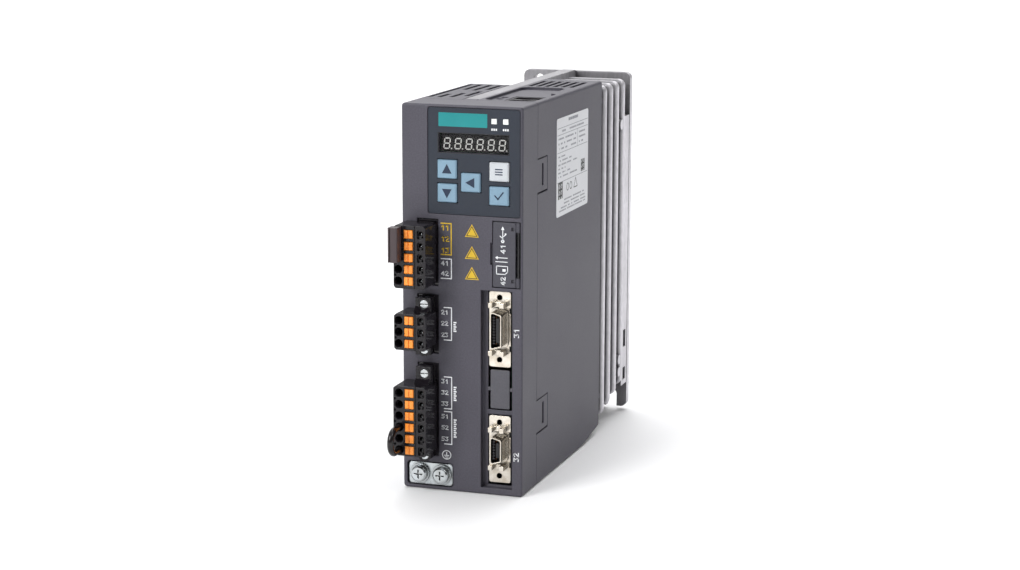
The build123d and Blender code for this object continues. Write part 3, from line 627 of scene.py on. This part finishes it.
flap([(19.7, 118.9), (18.95, 117.3), (20.45, 117.3)])
flap(rect(19.52, 19.88, 112.6, 117.5))
for s in ring_strokes(19.7, 112.4, 0.5, 0.55, 12):
    flap(s)
flap(stroke((19.7, 114.2), (20.95, 115.2), 0.34))
flap(stroke((19.7, 113.6), (18.5, 114.6), 0.34))
flap(rect(20.6, 21.3, 115.2, 115.9))
for s in numeral(1, 20.8, 109.2, 2.0, 0.38, turned=True) + numeral(4, 20.8, 107.1, 2.0, 0.38, turned=True):
    flap(s)
# opening mark: arrow over a line
flap([(17.4, 104.4), (17.4, 106.0), (16.3, 105.2)])
flap(rect(17.4, 21.9, 105.03, 105.37))
flap(rect(16.4, 21.9, 103.3, 103.62))
# card symbol
for p, q in (((16.9, 98.1), (16.9, 101.6)), ((16.9, 101.6), (21.9, 101.6)),
             ((21.9, 101.6), (21.9, 99.2)), ((21.9, 99.2), (20.8, 98.1)), ((20.8, 98.1), (16.9, 98.1))):
    flap(stroke(p, q, 0.34))
flap(rect(19.6, 21.0, 99.3, 100.4))
for s in numeral(2, 20.8, 95.3, 1.9, 0.38, turned=True) + numeral(4, 20.8, 93.3, 1.9, 0.38, turned=True):
    flap(s)
b.done("flap_prints", INK_WHITE, "service_flap")

# ------------------------------------------------------------- rating label
lo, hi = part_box("rating_label")
lx = (hi.x - XM) / MM
lines, bars, ink = Bag(), Bag(), Bag()
for z in (155.2, 152.2, 144.3, 131.0):
    lines.side(rect(48.0, 93.8, z - 0.12, z + 0.12), lx)
for y in (78.0,):
    lines.side(rect(y - 0.12, y + 0.12, 144.3, 152.2), lx)
lines.done("label_rules", INK_GREY, ROOT)


def text_rows(bag, y0, y1, z, h, seed, density=0.78):
    y, k = y0, seed
    while y < y1 - 0.5:
        k = (k * 73 + 41) % 101
        w = 0.55 + (k % 7) * 0.22
        if (k % 100) / 100 < density:
            bag.side(rect(y, min(y + w, y1), z - h / 2, z + h / 2), lx)
        y += w + 0.32


head = Bag()
text_rows(head, 64.3, 78.6, 158.0, 1.3, 7, 0.98)
head.done("label_heading", INK_GREY, ROOT)
text_rows(bars, 49.5, 60.0, 153.7, 0.9, 13)
text_rows(bars, 66.0, 90.0, 153.7, 0.8, 29)
for i, z in enumerate((150.4, 148.2, 146.0)):
    text_rows(bars, 49.5, 76.0, z, 0.8, 17 + i * 5)
    text_rows(bars, 80.5, 91.0, z, 0.8, 37 + i * 5)
for i, z in enumerate((142.4, 140.6, 138.8, 137.0, 135.2, 133.4)):
    text_rows(bars, 49.5, 60.0 + 9 * (i % 3), z, 0.7, 53 + i * 3)
for i, z in enumerate((122.4, 120.8, 119.2, 117.9)):
    text_rows(bars, 58.5 - 2.5 * i, 91.0, z, 0.65, 71 + i * 3)
bars.done("label_rows", INK_FAINT, ROOT)
# plain blocks where marks and codes would be
for y0, z0, cy, cz, ny, nz in ((49.4, 123.4, 0.95, 0.95, 7, 8), (83.8, 131.8, 0.8, 0.8, 7, 7)):
    for i in range(ny):
        for j in range(nz):
            if (i * 5 + j * 3 + i * j) % 3 != 1:
                ink.side(rect(y0 + i * cy, y0 + i * cy + cy - 0.02, z0 + j * cz, z0 + j * cz + cz - 0.02), lx)
for y, z, r in ((63.6, 127.6, 1.6), (68.4, 127.6, 1.6)):
    for s in ring_strokes(y, z, r, 0.42, 20):
        ink.side(s, lx)
for a, c in (((73.0, 126.0), (75.6, 130.2)), ((75.6, 130.2), (78.2, 126.0)), ((78.2, 126.0), (73.0, 126.0))):
    ink.side(stroke(a, c, 0.42), lx)
ink.done("label_blocks", INK_BLACK, ROOT)

# --------------------------------------------------------- ribbon contacts
def contacts(z0, z1, n, name):
    """Ribs along the left wall of the shroud, gold contacts on both sides of the tongue, darkened brown as
    painted shade.
    """
    zc = (z0 + z1) / 2
    g, r = Bag(), Bag()
    for i in range(n):
        z = zc + (i - (n - 1) / 2) * 1.27
        for x0, x1 in ((16.58, 16.76), (18.14, 18.32)):
            g.box(x0, x1, -2.9, 0.6, z - 0.28, z + 0.28)
        r.box(14.85, 16.3, -3.3, 0.6, z - 0.36, z + 0.36, 0.1)
        r.box(15.3, 15.7, -3.0, 0.6, z + 0.36, z + 0.91)
    g.done(name + "_contacts", GOLD_PAINTED_SHADE, ROOT)
    r.done(name + "_ribs", BLACK, ROOT)


contacts(65.7, 82.3, 10, "io_connector")
contacts(14.8, 27.2, 7, "encoder_connector")

# contact springs that glint inside the test holes, one set for each plug
for plug, poles in (("plug_24v", poles_24), ("plug_mains", poles_m), ("plug_motor", poles_u)):
    g = Bag()
    for pz in poles:
        g.prism([V(-14.3, -12.0, pz - 0.35), V(-13.4, -12.0, pz - 0.35), V(-13.4, -12.0, pz + 0.75)],
                [V(-14.3, -12.7, pz - 0.35), V(-13.4, -12.9, pz - 0.35), V(-13.4, -12.6, pz + 0.75)])
    g.done(plug + "_springs", ZINC, plug)

# network socket contacts
g = Bag()
for y0 in (30.9, 41.1):
    for i in range(8):
        x = 15.05 + (i - 3.5) * 1.02
        g.box(x - 0.16, x + 0.16, y0 + 6.95, y0 + 7.75, 156.3, 163.5)
g.done("network_socket_contacts", GOLD, ROOT)

# ------------------------------------------------------ stage, light, camera
def plain(name, color, rough):
    m = bpy.data.materials.new(name)
    m.use_nodes = True
    nt = m.node_tree
    bs = nt.nodes["Principled BSDF"]
    bs.inputs["Roughness"].default_value = rough
    n = nt.nodes.new("ShaderNodeTexNoise")
    n.inputs["Scale"].default_value = 3.0
    r = nt.nodes.new("ShaderNodeValToRGB")
    r.color_ramp.elements[0].color = (*[c * 0.985 for c in color], 1)
    r.color_ramp.elements[1].color = (*color, 1)
    nt.links.new(n.outputs["Fac"], r.inputs["Fac"])
    nt.links.new(r.outputs["Color"], bs.inputs["Base Color"])
    return m


me = bpy.data.meshes.new("floor")
s = 12.0
zf = cad_lo.z - 0.0002
me.from_pydata([(-s, -s, zf), (s, -s, zf), (s, s, zf), (-s, s, zf)], [], [(0, 1, 2, 3)])
floor = bpy.data.objects.new("floor", me)
scene.collection.objects.link(floor)
floor.data.materials.append(plain("floor_paper", (0.90, 0.90, 0.90), 0.7))

world = bpy.data.worlds.new("studio")
scene.world = world
world.use_nodes = True
wn = world.node_tree
bg = wn.nodes["Background"]
tc = wn.nodes.new("ShaderNodeTexCoord")
sep = wn.nodes.new("ShaderNodeSeparateXYZ")
wn.links.new(tc.outputs["Generated"], sep.inputs["Vector"])
sky = wn.nodes.new("ShaderNodeValToRGB")
mr = wn.nodes.new("ShaderNodeMapRange")
mr.inputs["From Min"].default_value = -1.0
mr.inputs["From Max"].default_value = 1.0
wn.links.new(sep.outputs["Z"], mr.inputs["Value"])
wn.links.new(mr.outputs["Result"], sky.inputs["Fac"])
els = sky.color_ramp.elements
els[0].position, els[0].color = 0.48, (0.95, 0.95, 0.95, 1)
els[1].position, els[1].color = 1.0, (0.62, 0.63, 0.66, 1)
for pos, c in ((0.60, 0.30), (0.68, 0.16), (0.78, 0.42)):
    e = els.new(pos)
    e.color = (c, c, c * 1.03, 1)
east = wn.nodes.new("ShaderNodeMapRange")
east.inputs["From Min"].default_value = 0.25
east.inputs["From Max"].default_value = 0.85
east.inputs["To Min"].default_value = 1.0
east.inputs["To Max"].default_value = 0.28
wn.links.new(sep.outputs["X"], east.inputs["Value"])
dim = wn.nodes.new("ShaderNodeVectorMath")
dim.operation = "SCALE"
wn.links.new(sky.outputs["Color"], dim.inputs[0])
wn.links.new(east.outputs["Result"], dim.inputs["Scale"])
wn.links.new(dim.outputs["Vector"], bg.inputs["Color"])
bg.inputs["Strength"].default_value = 0.95


def area(name, loc, target, size, power, size_y=None):
    ld = bpy.data.lights.new(name, "AREA")
    ld.shape = "RECTANGLE"
    ld.size = size
    ld.size_y = size_y or size
    ld.energy = power
    ob = bpy.data.objects.new(name, ld)
    scene.collection.objects.link(ob)
    ob.location = loc
    ob.rotation_euler = (Vector(target) - Vector(loc)).to_track_quat("-Z", "Y").to_euler()
    return ob


area("key", (-0.75, -1.55, 1.0), (0, -0.1, 0), 0.8, 25)
area("fill", (1.3, -0.6, 1.5), (0, -0.1, 0.05), 0.5, 7)
area("top", (0.1, 0.25, 1.5), (0, -0.08, 0), 1.0, 10)
area("backdrop", (-1.3, 3.6, 2.4), (-1.3, 3.6, 0), 5.0, 190)

cam_d = bpy.data.cameras.new("camera")
cam = bpy.data.objects.new("camera", cam_d)
scene.collection.objects.link(cam)
yaw, pitch, roll = 0.325821, -0.191104, 0.00258
d = Vector((-math.sin(yaw) * math.cos(pitch), math.cos(yaw) * math.cos(pitch), math.sin(pitch)))
r = d.cross(Vector((0, 0, 1))).normalized()
u = r.cross(d)
r2 = r * math.cos(roll) + u * math.sin(roll)
u2 = -r * math.sin(roll) + u * math.cos(roll)
cam.matrix_world = Matrix(((r2.x, u2.x, -d.x, 0.3256578), (r2.y, u2.y, -d.y, -1.0692243),
                           (r2.z, u2.z, -d.z, 0.1923305), (0, 0, 0, 1)))
cam_d.sensor_width = 36
cam_d.lens = 79.868
cam_d.clip_start = 0.02
cam_d.clip_end = 60
scene.camera = cam
scene.view_settings.view_transform = "Standard"
